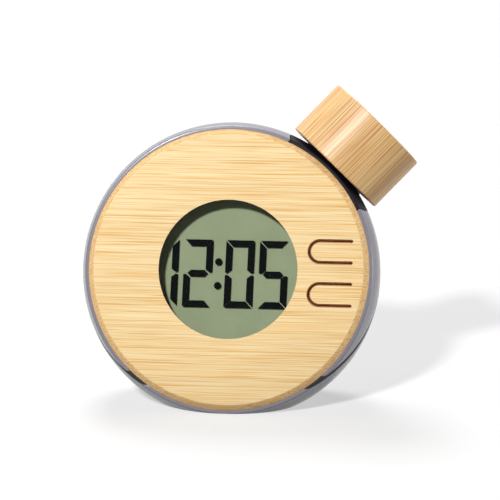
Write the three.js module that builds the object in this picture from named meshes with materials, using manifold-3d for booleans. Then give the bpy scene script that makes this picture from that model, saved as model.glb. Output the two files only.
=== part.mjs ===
// A round desk clock that runs on water. A bamboo face carries a liquid crystal display and two
// flexing buttons, a two-shell plastic case leans back on a flat, a water cell fills the case behind
// the display, and a bamboo screw cap closes the filler neck.
//
// All sizes are in millimetres. Every piece is made in the case frame: X to the right, Y up along the
// face, Z out of the face, with the origin at the middle of the case's front rim. The finished case
// is then leaned back on its flat, with Z up and the middle of the flat at the origin.

import * as THREE from 'three';
import * as BufferGeometryUtils from 'three/addons/utils/BufferGeometryUtils.js';
import Module from 'manifold-3d';

const wasm = await Module();
wasm.setup();

// How the clock stands
const leanAngle = THREE.MathUtils.degToRad(17);

// Gaps between pieces
const gap = 0.25;
const slideGap = 0.3;

// How far a cutting body runs past what it cuts, a distance past the whole clock, and how deep a part
// sinks into the one that it is joined to
const overshoot = 1;
const farOut = 60;
const merge = 0.02;

// Window and buttons, which set how wide the face is, and the buttons' cuts
const windowRadius = 19.27;
const buttonInset = 6.13;
const buttonLength = 8.6;
const buttonMargin = 5;
const buttonSpacing = 11.85;
const buttonsMiddle = -0.48;
const slotRadius = 3;
const slotWidth = 0.9;
const tongueThickness = 1.4;
const tongueRootGap = 0.3;
const pocketMargin = 0.4;

// Keys and switches behind the buttons
const keyInset = 1.6;
const keyRadius = 1.9;
const switchSize = 4.6;
const switchHeight = 1.8;
const plungerRadius = 1.1;
const plungerHeight = 0.8;
const plungerDepth = 1.2;

// Case: its rim runs round the face, and swells to the widest ring
const rimWidth = 0.9;
const caseSwell = 1.75;
const widestDepth = 8;
const caseDepth = 30;
const caseSquareness = 3.5;
const caseWall = 2;
const lipWall = 0.45;

// Parting line between the two shells: a plane that climbs from the front rim, and passes close behind
// the lower back corner of the neck's saddle
const partingRise = 9.3;
const partingClearance = 1;
const saddleCornerDrop = 2.25;
const partingGap = 0.35;
const sealHeight = 1.4;
const sealWidth = 1;
const sealStart = 1.5;

// Face, and the seat in the front shell that it is bonded to
const faceThickness = 3;
const faceBevel = 1.6;
const recessGap = 0.2;
const adhesiveThickness = 0.3;
const adhesiveWidth = 2.4;
const adhesiveInset = 0.4;
const seatInset = 0.1;
const seatWidth = 3.1;
const seatThickness = 1.8;

// Display: the glass reaches past the window, and further above and below it, where its contacts lie
const glassMargin = 1.23;
const glassReach = 2.5;
const contactLedge = 3.5;
const filmInset = 1;
const glassThickness = 0.7;
const displayGasketThickness = 0.6;
const gasketWidth = 1.13;
const displayRebate = 1;
const gasketInset = 0.3;
const digitHeight = 18.8;
const digitWidth = 8;
const strokeWidth = 1.85;
const segmentThickness = 0.15;
const crystalThickness = 0.1;
const mitreGap = 0.22;
const digitSlant = 0.022;
const digitsCentreY = -1.1;
const digitCentres = [-18.3, -8.8, 2.8, 12.2];
const digitSegments = ['bc', 'abged', 'abcdef', 'afgcd'];
const colonX = -3.1;
const colonOffset = 3.3;
const colonRadius = 1;
const connectorThickness = 2.2;
const connectorMargin = 2.5;
const connectorInset = 1.6;

// Display holder and circuit board
const holderInset = 0.4;
const holderFlangeInset = 1.25;
const holderThickness = 4.55;
const boardInset = 1.4;
const boardThickness = 1.2;
const boardScrewInset = 3;
const boardScrewAngles = [78, 140, 218, 318];
const holderScrewInset = 1.2;
const holderScrewAngles = [95, 155, 215, 325];
const boardScrew = { head: 1.6, headHeight: 1.1, shank: 0.8, length: 3.2 };
const holderScrew = { head: 1.25, headHeight: 0.9, shank: 0.65, length: 3.2 };
const holeFloor = 0.4;
const capacitor = { radius: 1.4, length: 7, x: -14, y: -20 };
const crystal = { radius: 1, length: 6, x: 8, y: 18 };
const chip = { radius: 4.5, height: 1.2, x: 6, y: -2 };

// Water cell
const coverRoom = 0.5;
const coverThickness = 1.2;
const cellSealThickness = 0.6;
const cellSealOverlap = 0.6;
const cellWall = 1.6;
const cellGap = 0.3;
const dividerThickness = 1.6;
const dividerHoleRadius = 2;
const dividerHoleInset = 17.65;
const electrodeInset = 19.65;
const electrodeThickness = 1;
const electrodeHeight = 22;
const electrodeFloor = 7.35;
const electrodeCentreY = -8;
const tabHeight = 5;
const tabReach = 1.2;
const linkThickness = 0.4;
const linkHeight = 4;
const leadRadius = 0.5;

// How far a lead has gone aside and up at each point of its route, and how far it lifts before it turns
const leadRoute = [[0, 0], [0.5, 3], [3, 8], [6, 12]];
const leadLift = 0.1;

// Filler neck and cap: the neck stands on a landing cut into the case, a little in front of the cell
const neckAngle = THREE.MathUtils.degToRad(46.9);
const neckLead = 0.5;
const saddle = { halfWidth: 15, shift: -0.5, lead: 4, backEdge: 5.7, squareness: 2.5, gap: 0.25 };
const landingInset = 1.05;
const neckRadius = 10.2;
const neckWall = 2.2;
const neckHeight = 10.2;
const neckFloor = 0.8;
const spoutRadius = 3.6;
const spoutBore = 2.5;
const spoutInset = 0.5;
const spoutReach = 7.65;
const threadPitch = 3;
const threadInset = 2.8;
const threadTurns = 1.75;
const threadHeight = 1.1;
const threadBase = 1.5;
const threadCrest = 0.7;
const threadSink = 0.4;
const capClearance = 0.3;
const capHeight = 17.3;
const capWall = 2.7;
const capEdge = 0.3;
const insertWall = 1.4;
const insertTop = 1.5;
const washerThickness = 1.2;
const washerInset = 0.1;

// Fineness of the round surfaces
const caseSides = 80;
const capSides = 64;
const cellSides = 56;
const smallSides = 20;
const screwSides = 12;

// Radii and places worked out from the values above, from the middle of the face outwards
const buttonTipX = windowRadius + buttonInset;
const buttonRootX = buttonTipX + buttonLength;
const buttonYs = { upper: buttonsMiddle + buttonSpacing / 2, lower: buttonsMiddle - buttonSpacing / 2 };
const keyX = buttonTipX + keyInset;
const faceRadius = buttonRootX + buttonMargin;
const rimRadius = faceRadius + rimWidth;
const caseRadius = rimRadius + caseSwell;
const flatMiddleDepth = caseDepth / 2;
const partingHeight = partingRise - rimRadius;
const seatOuterRadius = faceRadius - seatInset;
const seatInnerRadius = seatOuterRadius - seatWidth;
const displayGasketRadius = windowRadius + gasketWidth;
const frontGlassWidth = 2 * (windowRadius + glassMargin);
const frontGlassHeight = frontGlassWidth + 2 * glassReach;
const rearGlassHeight = frontGlassHeight - 2 * contactLedge;
const connectorLength = frontGlassWidth - 2 * connectorMargin;
const connectorY = frontGlassHeight / 2 - connectorInset;
const holderRadius = seatInnerRadius - holderInset;
const holderFlangeRadius = caseRadius - caseWall - holderFlangeInset;
const holderScrewRadius = seatInnerRadius + holderScrewInset;
const boardRadius = holderRadius - boardInset;
const boardScrewRadius = boardRadius - boardScrewInset;
const dividerHoleY = caseRadius - dividerHoleInset;
const outerElectrodeX = caseRadius - electrodeInset;
const electrodeXs = {
  left_copper: -outerElectrodeX,
  left_zinc: -outerElectrodeX / 2,
  right_copper: outerElectrodeX / 2,
  right_zinc: outerElectrodeX,
};
const neckBore = neckRadius - neckWall;
const insertRadius = neckRadius + threadHeight + slideGap + insertWall;
const capRadius = insertRadius + capWall;
const washerRadius = neckRadius - washerInset;

// Heights along the neck, from the middle of the case
const landingHeight = caseRadius - landingInset;
const neckTop = landingHeight + neckHeight;
const neckFloorTop = landingHeight + neckFloor;
const spoutEnd = caseRadius - spoutReach;
const threadStart = landingHeight + threadInset;
const capBottom = landingHeight + capClearance;
const capTop = capBottom + capHeight;
const insertBottom = capBottom + gap;
const washerBottom = neckTop + gap;
const washerTop = washerBottom + washerThickness;
const insertCeiling = washerTop + gap;
const insertEnd = insertCeiling + insertTop;

// Depths worked out from the values above, as Z from the front rim
const faceFront = faceBevel;
const faceBack = faceFront - faceThickness;
const recessTop = faceFront + overshoot;
const seatFront = faceBack - gap - adhesiveThickness - gap;
const seatBack = seatFront - seatThickness;
const tongueBack = faceFront - tongueThickness;
const displayGasketFront = faceBack + displayRebate - gap;
const frontGlassFront = displayGasketFront - displayGasketThickness - gap;
const segmentsFront = frontGlassFront - glassThickness - gap;
const crystalBack = segmentsFront - segmentThickness - crystalThickness;
const rearGlassFront = crystalBack - gap;
const holderFront = faceBack - gap;
const holderBack = holderFront - holderThickness;
const holderFlangeFront = seatBack - gap;
const boardFront = holderBack - gap;
const boardBack = boardFront - boardThickness;
const switchBack = boardFront + gap;
const switchFront = switchBack + switchHeight;
const coverFront = boardBack - gap - 2 * capacitor.radius - coverRoom;
const coverBack = coverFront - coverThickness;
const cellSealFront = coverBack - gap;
const cellFront = cellSealFront - cellSealThickness - gap;
const cellInset = caseWall + cellGap;
const electrodeBack = electrodeFloor - caseDepth;

// Depths of the neck's axis, of its spout and of the middle of its saddle, behind the front rim
const neckDepth = -cellFront - neckLead;
const spoutDepth = neckDepth + neckBore - spoutBore - spoutInset;
const saddleDepth = neckDepth - saddle.lead;
const saddleHalfDepth = caseDepth - saddle.backEdge - saddleDepth;

// Slope of the parting plane, from its height on the front rim to the saddle's corner
const saddleCornerHeight = caseRadius - saddle.halfWidth - saddleCornerDrop;
const partingReach = saddleDepth + saddleHalfDepth + partingClearance;
const partingAngle = Math.atan(partingReach / (saddleCornerHeight - partingHeight));

// A closed three.js geometry as a solid that can be cut and joined.
function toSolid(geometry) {
  const bare = geometry.clone();
  bare.deleteAttribute('normal');
  bare.deleteAttribute('uv');
  const merged = BufferGeometryUtils.mergeVertices(bare, 1e-4);
  return new wasm.Manifold(new wasm.Mesh({
    numProp: 3,
    vertProperties: new Float32Array(merged.attributes.position.array),
    triVerts: new Uint32Array(merged.index.array),
  }));
}

// A solid back as a three.js geometry with flat shading normals.
function toGeometry(solid) {
  const mesh = solid.getMesh();
  const geometry = new THREE.BufferGeometry();
  geometry.setAttribute('position', new THREE.BufferAttribute(new Float32Array(mesh.vertProperties), 3));
  geometry.setIndex(new THREE.BufferAttribute(new Uint32Array(mesh.triVerts), 1));
  geometry.computeVertexNormals();
  return geometry;
}

function joined(solids) {
  return solids.reduce((sum, solid) => sum.add(solid));
}

function polar(radius, degrees) {
  const angle = THREE.MathUtils.degToRad(degrees);
  return [radius * Math.cos(angle), radius * Math.sin(angle)];
}

// A box from its lowest to its highest corner.
function boxSolid(low, high) {
  const geometry = new THREE.BoxGeometry(high[0] - low[0], high[1] - low[1], high[2] - low[2]);
  geometry.translate((low[0] + high[0]) / 2, (low[1] + high[1]) / 2, (low[2] + high[2]) / 2);
  return toSolid(geometry);
}

// A cylinder along Z between two depths.
function rod(radius, back, front, x = 0, y = 0, sides = smallSides) {
  const geometry = new THREE.CylinderGeometry(radius, radius, front - back, sides);
  geometry.rotateX(Math.PI / 2);
  geometry.translate(x, y, (front + back) / 2);
  return toSolid(geometry);
}

function ring(outerRadius, innerRadius, back, front, sides = caseSides) {
  return rod(outerRadius, back, front, 0, 0, sides)
    .subtract(rod(innerRadius, back - overshoot, front + overshoot, 0, 0, sides));
}

// A solid of revolution about Z from a profile of [radius, z] that starts and ends on the axis.
function turned(profile, sides) {
  const geometry = new THREE.LatheGeometry(profile.map(([r, z]) => new THREE.Vector2(r, z)), sides);
  geometry.rotateX(Math.PI / 2);
  const solid = toSolid(geometry);
  if (solid.volume() > 0) return solid;
  return toSolid(flipped(geometry));
}

// The same geometry with its faces turned over.
function flipped(geometry) {
  const copy = geometry.clone();
  const index = Array.from(copy.index.array);
  for (let i = 0; i < index.length; i += 3) [index[i], index[i + 1]] = [index[i + 1], index[i]];
  copy.setIndex(index);
  return copy;
}

// A flat shape pushed from one depth to another.
function plate(shape, back, front) {
  const geometry = new THREE.ExtrudeGeometry(shape, { depth: front - back, bevelEnabled: false,
    curveSegments: 10 });
  geometry.translate(0, 0, back);
  return toSolid(geometry);
}

// The side of a half space: a large block whose one face lies on a plane through a point.
function blockAbove(point, normal) {
  const size = 200;
  const geometry = new THREE.BoxGeometry(size, size, size);
  geometry.translate(0, 0, size / 2);
  const turn = new THREE.Quaternion().setFromUnitVectors(new THREE.Vector3(0, 0, 1), normal.clone()
    .normalize());
  geometry.applyQuaternion(turn);
  geometry.translate(point.x, point.y, point.z);
  return toSolid(geometry);
}

// The room above the flat that the clock stands on, set in by a wall.
const upDirection = new THREE.Vector3(0, Math.cos(leanAngle), Math.sin(leanAngle));
function aboveFloor(inset) {
  const point = new THREE.Vector3(0, -rimRadius, 0).addScaledVector(upDirection, inset);
  return blockAbove(point, upDirection);
}

// The front side of the parting plane, moved forward by a distance.
const partingNormal = new THREE.Vector3(0, Math.sin(partingAngle), Math.cos(partingAngle));
function beforeParting(offset) {
  const point = new THREE.Vector3(0, partingHeight, 0).addScaledVector(partingNormal, offset);
  return blockAbove(point, partingNormal);
}

// The case's outer form, set in by a wall: a cone that swells to the widest ring, then a rounded back.
function caseForm(inset, front, sides = caseSides) {
  const widest = caseRadius - inset;
  const back = caseDepth - inset;
  const frontDepth = -front;
  const frontSteps = 3;
  const backSteps = 9;
  const profile = [[0, front]];
  for (let i = 0; i < frontSteps; i += 1) {
    const depth = frontDepth + (widestDepth - frontDepth) * (i / frontSteps);
    if (depth < widestDepth) profile.push([coneRadius(depth) - inset, -depth]);
  }
  for (let i = 0; i <= backSteps; i += 1) {
    const swing = (Math.PI / 2) * (i / backSteps);
    const radius = widest * Math.cos(swing) ** (2 / caseSquareness);
    const depth = widestDepth + (back - widestDepth) * Math.sin(swing) ** (2 / caseSquareness);
    if (depth > frontDepth) profile.push([i === backSteps ? 0 : radius, -depth]);
  }
  return turned(profile, sides);
}

// The outer radius of the case in front of its widest ring.
function coneRadius(depth) {
  const share = Math.min(Math.max(depth / widestDepth, 0), 1);
  return rimRadius + (caseRadius - rimRadius) * Math.sin((share * Math.PI) / 2);
}

// Filler neck placing: local Z runs out along the neck, local Y points out of the face.
const neckFrame = new THREE.Matrix4().makeBasis(
  new THREE.Vector3(-Math.sin(neckAngle), Math.cos(neckAngle), 0),
  new THREE.Vector3(0, 0, 1),
  new THREE.Vector3(Math.cos(neckAngle), Math.sin(neckAngle), 0),
).setPosition(0, 0, -neckDepth);

function onNeck(solid) {
  return solid.transform(neckFrame.elements);
}

// The plan of the neck's saddle, pushed out along the neck.
function saddlePrism(grow) {
  const shape = new THREE.Shape();
  const steps = 40;
  for (let i = 0; i < steps; i += 1) {
    const angle = (2 * Math.PI * i) / steps;
    const power = 2 / saddle.squareness;
    const x = (saddle.halfWidth + grow) * Math.sign(Math.cos(angle)) * Math.abs(Math.cos(angle)) ** power;
    const y = (saddleHalfDepth + grow) * Math.sign(Math.sin(angle)) * Math.abs(Math.sin(angle)) ** power;
    if (i === 0) shape.moveTo(x + saddle.shift, y + saddle.lead);
    else shape.lineTo(x + saddle.shift, y + saddle.lead);
  }
  shape.closePath();
  return onNeck(plate(shape, caseRadius / 2, farOut));
}

// A helical ridge about Z, right-handed, as one closed strip.
function helixRidge(rootRadius, crestRadius, start, turns, baseWidth, crestWidth, phase = 0) {
  const stepsPerTurn = 24;
  const steps = Math.round(turns * stepsPerTurn);
  const positions = [];
  const index = [];
  for (let i = 0; i <= steps; i += 1) {
    const angle = phase + (2 * Math.PI * i) / stepsPerTurn;
    const height = start + (threadPitch * i) / stepsPerTurn;
    const corners = [
      [rootRadius, height - baseWidth / 2],
      [crestRadius, height - crestWidth / 2],
      [crestRadius, height + crestWidth / 2],
      [rootRadius, height + baseWidth / 2],
    ];
    for (const [radius, z] of corners) positions.push(radius * Math.cos(angle), radius * Math.sin(angle), z);
  }
  for (let i = 0; i < steps; i += 1) {
    for (let k = 0; k < 4; k += 1) {
      const a = i * 4 + k;
      const b = i * 4 + ((k + 1) % 4);
      index.push(a, a + 4, b, b, a + 4, b + 4);
    }
  }
  const end = steps * 4;
  index.push(0, 1, 2, 0, 2, 3, end, end + 2, end + 1, end, end + 3, end + 2);
  const geometry = new THREE.BufferGeometry();
  geometry.setAttribute('position', new THREE.Float32BufferAttribute(positions, 3));
  geometry.setIndex(index);
  const solid = toSolid(geometry);
  return solid.volume() > 0 ? solid : toSolid(flipped(geometry));
}

// A U-shaped button outline: straight sides from the root, and a round end towards the window.
function tongueShape(halfWidth, rootX, centreY) {
  const shape = new THREE.Shape();
  shape.moveTo(rootX, centreY - halfWidth);
  shape.lineTo(rootX, centreY + halfWidth);
  shape.lineTo(buttonTipX, centreY + halfWidth);
  shape.absarc(buttonTipX, centreY, halfWidth, Math.PI / 2, (3 * Math.PI) / 2, false);
  shape.closePath();
  return shape;
}

// A screw at one place round the case, its head to the back.
function screw(size, radius, angle, headFront) {
  const [x, y] = polar(radius, angle);
  const head = rod(size.head, headFront - size.headHeight, headFront, x, y);
  return head.add(rod(size.shank, headFront - merge, headFront + size.length, x, y, screwSides));
}

function screwHoles(size, radius, angles, back, front) {
  return joined(angles.map((angle) => rod(size.shank + gap, back, front, ...polar(radius, angle),
    screwSides)));
}

// Materials, from the photograph where the piece shows
function material(color, roughness, metalness = 0) {
  return new THREE.MeshStandardMaterial({ color, roughness, metalness });
}
const bamboo = material('#e9c386', 0.5);
const capBamboo = material('#e2bb7d', 0.45);
const casePlastic = material('#7d7d88', 0.35);
const blackPlastic = material('#1b1820', 0.45);
const blackRubber = material('#141414', 0.8);
const displayGlass = material('#c5d0bd', 0.1);
const displayBacking = material('#a5b18e', 0.5);
const displayInk = material('#10120f', 0.4);
const boardGreen = material('#2c5d3a', 0.5);
const cellPlastic = material('#d9dde0', 0.3);
const copper = material('#b87348', 0.35, 1);
const zinc = material('#a9abad', 0.45, 1);
const steel = material('#b4b6b8', 0.3, 1);
const tape = material('#d8d4c6', 0.7);
const siliconeGrey = material('#7c7c7c', 0.7);
const redSleeve = material('#a02a24', 0.5);
const blackSleeve = material('#1a1a1a', 0.5);

const clock = new THREE.Group();
const leaningCase = new THREE.Group();
clock.add(leaningCase);

function addPiece(name, solid, finish) {
  const mesh = new THREE.Mesh(toGeometry(solid), finish);
  mesh.name = name;
  leaningCase.add(mesh);
}

// Case walls
const caseOutside = caseForm(0, 0).intersect(aboveFloor(0));
const cavity = caseForm(caseWall, seatBack).intersect(aboveFloor(caseWall));
const faceRecess = rod(faceRadius + recessGap, seatFront, recessTop, 0, 0, caseSides)
  .intersect(aboveFloor(lipWall));
const seatOpening = rod(seatInnerRadius, seatBack - overshoot, seatFront + overshoot, 0, 0, caseSides);
const seatRing = ring(seatOuterRadius, seatInnerRadius, seatBack, seatFront)
  .intersect(aboveFloor(lipWall + slideGap));
const wallWithSeat = caseOutside.subtract(cavity).subtract(faceRecess).subtract(seatOpening);
const interior = cavity
  .add(rod(faceRadius + recessGap, seatBack - overshoot, recessTop, 0, 0, caseSides)
    .intersect(aboveFloor(lipWall)));
const wallWithoutSeat = caseOutside.subtract(interior);
const sealSlot = caseForm(caseWall - sealWidth, seatBack - overshoot)
  .intersect(aboveFloor(caseWall - sealWidth))
  .intersect(beforeParting(-sealHeight / 2 - gap).subtract(beforeParting(sealHeight / 2 + gap)));

function makeFrontShell() {
  return wallWithSeat.intersect(beforeParting(partingGap / 2))
    .add(seatRing)
    .subtract(sealSlot.subtract(rod(seatOuterRadius + gap, seatBack - gap, seatFront, 0, 0, caseSides)))
    .subtract(saddlePrism(saddle.gap).subtract(rod(seatOuterRadius, seatBack, seatFront, 0, 0, caseSides)))
    .subtract(screwHoles(holderScrew, holderScrewRadius, holderScrewAngles, seatBack - overshoot,
      seatFront - holeFloor));
}

function makeRearShell() {
  return wallWithoutSeat.subtract(beforeParting(-partingGap / 2))
    .subtract(sealSlot)
    .subtract(saddlePrism(saddle.gap));
}

function makeSeal() {
  return caseForm(caseWall - sealWidth + gap, seatBack - sealStart)
    .intersect(aboveFloor(caseWall - sealWidth + gap))
    .subtract(cavity)
    .intersect(beforeParting(-sealHeight / 2).subtract(beforeParting(sealHeight / 2)))
    .subtract(saddlePrism(saddle.gap + gap));
}

// The neck: a saddle flush with the case, a flat landing, the threaded tube and the spout to the cell.
function makeNeck() {
  const bridge = wallWithoutSeat.intersect(saddlePrism(0));
  const landing = onNeck(rod(farOut, landingHeight, landingHeight + farOut));
  const tube = onNeck(rod(neckRadius, spoutEnd - overshoot, neckTop, 0, 0, capSides)).subtract(interior);
  const ridge = onNeck(helixRidge(
    neckRadius - threadSink, neckRadius + threadHeight, threadStart, threadTurns,
      threadBase + threadSink, threadCrest,
  ));
  const spoutY = neckDepth - spoutDepth;
  const spout = onNeck(rod(spoutRadius, spoutEnd, landingHeight - overshoot, 0, spoutY));
  const bore = onNeck(rod(neckBore, neckFloorTop, neckTop + overshoot, 0, 0, capSides));
  const spoutHole = onNeck(rod(spoutBore, spoutEnd - overshoot, neckFloorTop + overshoot, 0, spoutY));
  return bridge.subtract(landing).add(tube).add(ridge).add(spout).subtract(bore).subtract(spoutHole);
}

function makeInsert() {
  const body = rod(insertRadius - gap, insertBottom, insertEnd, 0, 0, capSides)
    .subtract(rod(neckRadius + slideGap, insertBottom - overshoot, insertCeiling, 0, 0, capSides));
  const turnsBelow = 2;
  const groove = helixRidge(
    neckRadius - threadSink, neckRadius + threadHeight + slideGap, threadStart - turnsBelow * threadPitch,
    threadTurns + turnsBelow, threadBase + threadSink + 2 * slideGap, threadCrest + 2 * slideGap,
  );
  return onNeck(body.subtract(groove));
}

function makeCap() {
  const outside = turned([
    [0, capBottom],
    [capRadius - capEdge, capBottom],
    [capRadius, capBottom + capEdge],
    [capRadius, capTop - capEdge],
    [capRadius - capEdge, capTop],
    [0, capTop],
  ], capSides);
  return onNeck(outside.subtract(rod(insertRadius, capBottom - overshoot, insertEnd + gap, 0, 0, capSides)));
}

// The face: a bevelled bamboo disc with the window, a rebate for its gasket, two button cut-outs and a
// pocket behind them.
function makeFace() {
  const disc = turned([
    [0, faceBack],
    [faceRadius, faceBack],
    [faceRadius, 0],
    [faceRadius - faceBevel, faceFront],
    [0, faceFront],
  ], caseSides);
  const pocketHalf = buttonSpacing / 2 + slotRadius + slotWidth / 2 + pocketMargin;
  const pocket = boxSolid(
    [buttonTipX - slotRadius - slotWidth / 2 - pocketMargin, buttonsMiddle - pocketHalf,
      faceBack - overshoot],
    [buttonRootX + tongueRootGap, buttonsMiddle + pocketHalf, tongueBack],
  );
  const rebate = rod(displayGasketRadius + gap, faceBack - overshoot, faceBack + displayRebate, 0, 0,
    capSides);
  const cutOuts = Object.values(buttonYs).map((y) => plate(
    tongueShape(slotRadius + slotWidth / 2, buttonRootX, y), faceBack - overshoot, faceFront + overshoot,
  ));
  return disc.subtract(rod(windowRadius, faceBack - overshoot, faceFront + overshoot, 0, 0, capSides))
    .subtract(rebate)
    .subtract(pocket)
    .subtract(joined(cutOuts));
}

function makeTongue(y) {
  return plate(tongueShape(slotRadius - slotWidth / 2, buttonRootX - tongueRootGap, y), tongueBack,
    faceFront);
}

// The display
function glassPlate(height, front) {
  return boxSolid([-frontGlassWidth / 2, -height / 2, front - glassThickness], [frontGlassWidth / 2,
    height / 2, front]);
}

// One stroke of a digit, drawn from its corner points.
function stroke(points, centreX) {
  const shape = new THREE.Shape(points.map(([x, y]) => new THREE.Vector2(
    centreX + x + y * digitSlant, digitsCentreY + y,
  )));
  return plate(shape, segmentsFront - segmentThickness - merge, segmentsFront);
}

// The seven strokes of a digit about its centre, mitred at the corners, by their usual letters.
function digitStrokes() {
  const w = digitWidth / 2;
  const h = digitHeight / 2;
  const s = strokeWidth;
  const m = mitreGap / 2;
  const top = [[-w + m * 2, h], [w - m * 2, h], [w - s - m, h - s], [-w + s + m, h - s]];
  const bar = [[-w + s * 0.5 + m * 2, 0], [-w + s + m * 2, s / 2], [w - s - m * 2, s / 2],
    [w - s * 0.5 - m * 2, 0], [w - s - m * 2, -s / 2], [-w + s + m * 2, -s / 2]];
  const side = [[w, h - m * 2], [w, m * 2 + s * 0.1], [w - s * 0.35, m * 2], [w - s, s / 2 + m * 2],
    [w - s, h - s - m * 2]];
  const mirrorX = (points) => points.map(([x, y]) => [-x, y]).reverse();
  const mirrorY = (points) => points.map(([x, y]) => [x, -y]).reverse();
  return { a: top, b: side, c: mirrorY(side), d: mirrorY(top), e: mirrorX(mirrorY(side)),
    f: mirrorX(side), g: bar };
}

// The film between the glasses, with the strokes that show dark standing proud of it.
function makeCrystalLayer() {
  const strokes = digitStrokes();
  const film = boxSolid(
    [-frontGlassWidth / 2 + filmInset, -rearGlassHeight / 2, crystalBack],
    [frontGlassWidth / 2 - filmInset, rearGlassHeight / 2, crystalBack + crystalThickness],
  );
  const solids = [film];
  digitSegments.forEach((letters, place) => {
    for (const letter of letters) solids.push(stroke(strokes[letter], digitCentres[place]));
  });
  for (const side of [-1, 1]) {
    const y = side * colonOffset;
    solids.push(rod(colonRadius, segmentsFront - segmentThickness - merge, segmentsFront,
      colonX + y * digitSlant, digitsCentreY + y, screwSides));
  }
  return joined(solids);
}

// The black frame that holds the display and guides the keys.
function makeHolder() {
  const opening = boxSolid(
    [-frontGlassWidth / 2 - gap, -frontGlassHeight / 2 - gap, holderBack - overshoot],
    [frontGlassWidth / 2 + gap, frontGlassHeight / 2 + gap, holderFront + overshoot],
  );
  const guides = Object.values(buttonYs).flatMap((y) => {
    const half = switchSize / 2 + slideGap;
    return [
      rod(keyRadius + slideGap, holderBack - overshoot, holderFront + overshoot, keyX, y),
      boxSolid([keyX - half, y - half, holderBack - overshoot], [keyX + half, y + half,
        switchFront + slideGap]),
    ];
  });
  return rod(holderRadius, holderBack, holderFront, 0, 0, caseSides)
    .add(rod(holderFlangeRadius, holderBack, holderFlangeFront, 0, 0, caseSides))
    .intersect(aboveFloor(caseWall + gap))
    .subtract(opening)
    .subtract(joined(guides))
    .subtract(screwHoles(boardScrew, boardScrewRadius, boardScrewAngles, holderBack - overshoot,
      holderBack + boardScrew.length - holeFloor))
    .subtract(screwHoles(holderScrew, holderScrewRadius, holderScrewAngles, holderBack - overshoot,
      holderFront + overshoot));
}

function makeBoard() {
  return rod(boardRadius, boardBack, boardFront, 0, 0, cellSides)
    .intersect(aboveFloor(caseWall + gap))
    .subtract(screwHoles(boardScrew, boardScrewRadius, boardScrewAngles, boardBack - overshoot,
      boardFront + overshoot));
}

function makeKey(y) {
  const bottom = switchFront + plungerHeight + gap;
  return rod(keyRadius, bottom, tongueBack - gap, keyX, y);
}

function makeSwitch(y) {
  const half = switchSize / 2;
  return boxSolid([keyX - half, y - half, switchBack], [keyX + half, y + half, switchFront])
    .subtract(rod(plungerRadius + gap, switchFront - plungerDepth - gap - slideGap,
      switchFront + overshoot, keyX, y, 16));
}

function makePlunger(y) {
  return rod(plungerRadius, switchFront - plungerDepth + gap, switchFront + plungerHeight, keyX, y, 16);
}

// Board parts on the back of the circuit board
function lyingCan(size) {
  const z = boardBack - gap - size.radius;
  const geometry = new THREE.CylinderGeometry(size.radius, size.radius, size.length, 16);
  geometry.rotateZ(Math.PI / 2);
  geometry.translate(size.x, size.y, z);
  return toSolid(geometry);
}

function makeChipBlob() {
  const front = boardBack - gap;
  const profile = [[0, front], [chip.radius, front]];
  const steps = 4;
  for (let i = 1; i <= steps; i += 1) {
    const swing = (Math.PI / 2) * (i / steps);
    profile.push([i === steps ? 0 : chip.radius * Math.cos(swing), front - chip.height * Math.sin(swing)]);
  }
  return turned(profile, smallSides).translate([chip.x, chip.y, 0]);
}

// The water cell
function makeCell() {
  const inset = cellInset + cellWall;
  const outside = caseForm(cellInset, cellFront, cellSides).intersect(aboveFloor(cellInset));
  const inside = caseForm(inset, cellFront, cellSides).intersect(aboveFloor(inset));
  const mouth = rod(caseRadius - inset, cellFront - overshoot, cellFront + overshoot, 0, 0, cellSides)
    .intersect(aboveFloor(inset));
  const divider = boxSolid([-dividerThickness / 2, -farOut, -farOut], [dividerThickness / 2, farOut,
    cellFront - gap])
    .intersect(outside)
    .subtract(dividerHole());
  const spoutHole = onNeck(rod(spoutRadius + slideGap, spoutEnd - overshoot, neckTop, 0,
    neckDepth - spoutDepth));
  return outside.subtract(inside).subtract(mouth).add(divider).subtract(spoutHole);
}

// A round hole across the divider, so that both halves fill from one spout.
function dividerHole() {
  const geometry = new THREE.CylinderGeometry(dividerHoleRadius, dividerHoleRadius,
    dividerThickness + 2 * overshoot, smallSides);
  geometry.rotateZ(Math.PI / 2);
  geometry.translate(0, dividerHoleY, (cellFront - caseDepth) / 2);
  return toSolid(geometry);
}

function makeCellSeal() {
  const inset = cellInset + cellWall + cellSealOverlap;
  return rod(caseRadius - cellInset - gap, cellSealFront - cellSealThickness, cellSealFront, 0, 0, cellSides)
    .intersect(aboveFloor(cellInset + gap))
    .subtract(rod(caseRadius - inset, -farOut, 0, 0, 0, cellSides).intersect(aboveFloor(inset)));
}

function makeCover() {
  const slots = Object.values(electrodeXs).map((x) => boxSolid(
    [x - electrodeThickness / 2 - gap, electrodeCentreY - tabHeight / 2 - gap, coverBack - overshoot],
    [x + electrodeThickness / 2 + gap, electrodeCentreY + tabHeight / 2 + gap, coverFront + overshoot],
  ));
  return rod(caseRadius - cellInset - gap, coverBack, coverFront, 0, 0, cellSides)
    .intersect(aboveFloor(cellInset + gap))
    .subtract(joined(slots));
}

function makeElectrode(x) {
  const half = electrodeThickness / 2;
  const top = coverBack - gap;
  const sheet = boxSolid(
    [x - half, electrodeCentreY - electrodeHeight / 2, electrodeBack],
    [x + half, electrodeCentreY + electrodeHeight / 2, top],
  );
  const tab = boxSolid(
    [x - half, electrodeCentreY - tabHeight / 2, top - overshoot],
    [x + half, electrodeCentreY + tabHeight / 2, coverFront + tabReach],
  );
  return sheet.add(tab);
}

// A strip over the cover that joins the two inner electrodes in series.
function makeLink() {
  const reach = electrodeXs.right_copper - electrodeThickness / 2 - gap;
  return boxSolid(
    [-reach, electrodeCentreY - linkHeight / 2, coverFront + gap],
    [reach, electrodeCentreY + linkHeight / 2, coverFront + gap + linkThickness],
  );
}

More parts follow.
